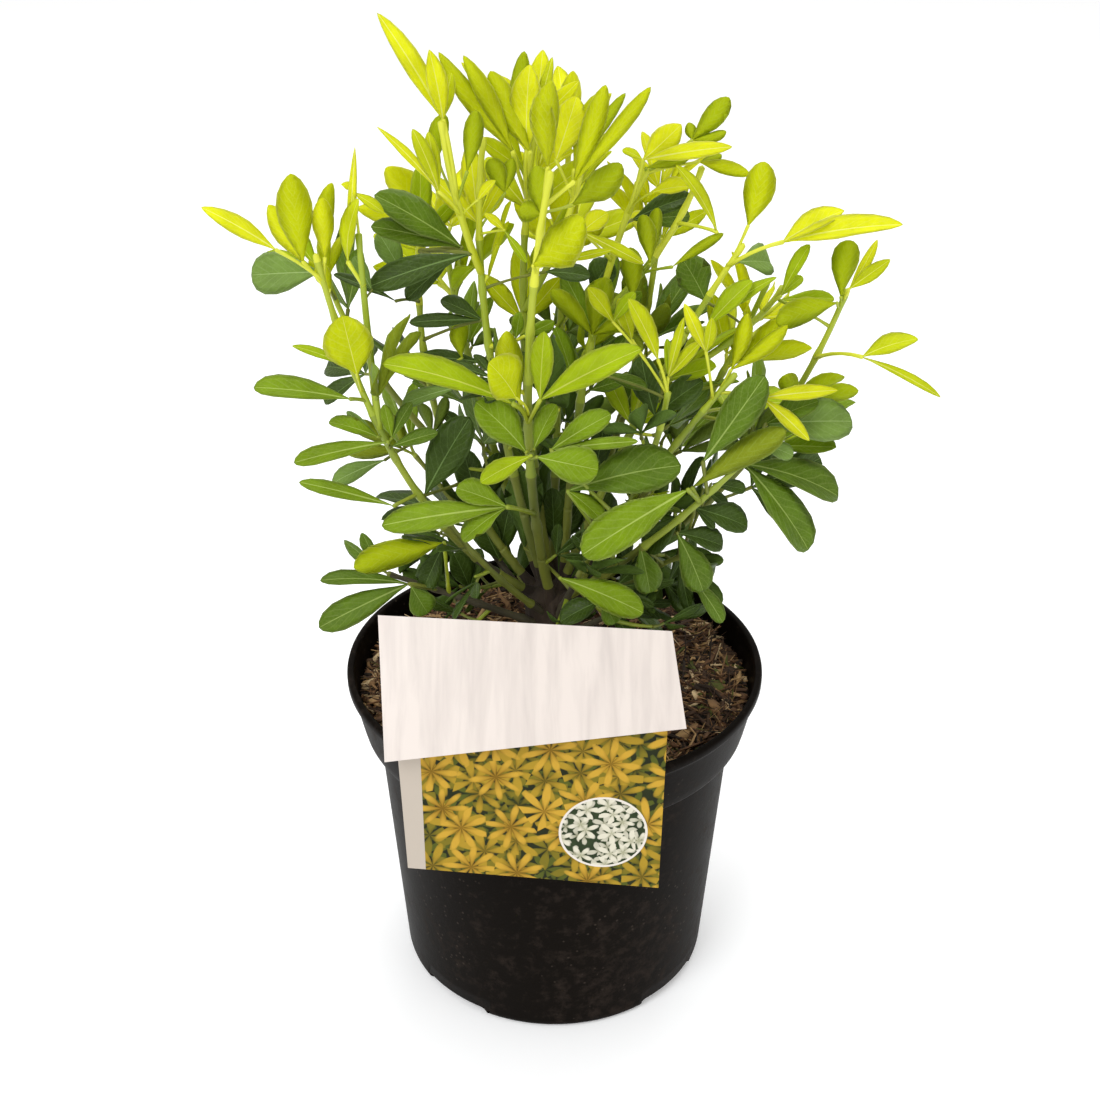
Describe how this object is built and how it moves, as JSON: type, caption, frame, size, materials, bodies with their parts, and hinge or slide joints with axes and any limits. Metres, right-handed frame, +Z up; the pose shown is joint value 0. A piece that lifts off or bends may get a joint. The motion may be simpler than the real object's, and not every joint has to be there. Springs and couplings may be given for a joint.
{
  "type": "potted mexican orange blossom",
  "caption": "Young multi-stemmed evergreen shrub with golden three-part leaves, in a round black nursery pot with a blank plant label.",
  "frame": {"origin": "middle of the pot's flat underside", "axes": "+Z up along the pot's axis, -Y towards the label, which is the front, and +X to the right seen from the front"},
  "size_m": [0.2817, 0.2142, 0.4523],
  "materials": {
    "pot_plastic": "matte",
    "compost": "matte",
    "bark": "matte",
    "green_stem": "satin",
    "foliage_gold": "satin",
    "foliage_green": "satin",
    "foliage_dark": "satin",
    "label_card": "satin"
  },
  "bodies": {
    "root": {"pot": "pot_plastic", "soil": "compost", "foot": "bark", "label": "label_card", "bough_front_centre": "green_stem", "bough_tall_left": "green_stem", "bough_centre_top": "green_stem", "bough_right_top": "green_stem", "bough_right": "green_stem", "bough_far_right": "green_stem", "bough_right_front": "green_stem", "bough_right_low": "green_stem", "bough_left_main": "green_stem", "bough_left_back": "green_stem", "bough_back_left": "green_stem", "bough_back_centre": "green_stem", "bough_back_right": "green_stem", "bough_right_back": "green_stem", "foliage_front_centre": "foliage_green", "foliage_tall_left": "foliage_gold", "foliage_centre_top": "foliage_gold", "foliage_right_top": "foliage_gold", "foliage_right": "foliage_gold", "foliage_far_right": "foliage_gold", "foliage_right_front": "foliage_gold", "foliage_right_low": "foliage_dark", "foliage_left_main": "foliage_green", "foliage_left_back": "foliage_dark", "foliage_back_left": "foliage_gold", "foliage_back_centre": "foliage_gold", "foliage_back_right": "foliage_gold", "foliage_right_back": "foliage_gold", "foliage_low_left": "foliage_dark", "foliage_inner_left": "foliage_dark", "foliage_low_front": "foliage_dark", "foliage_inner_right": "foliage_dark", "foliage_low_right": "foliage_dark", "foliage_low_back_right": "foliage_dark", "foliage_low_back": "foliage_dark", "foliage_low_back_left": "foliage_dark"}
  },
  "joints": []
}
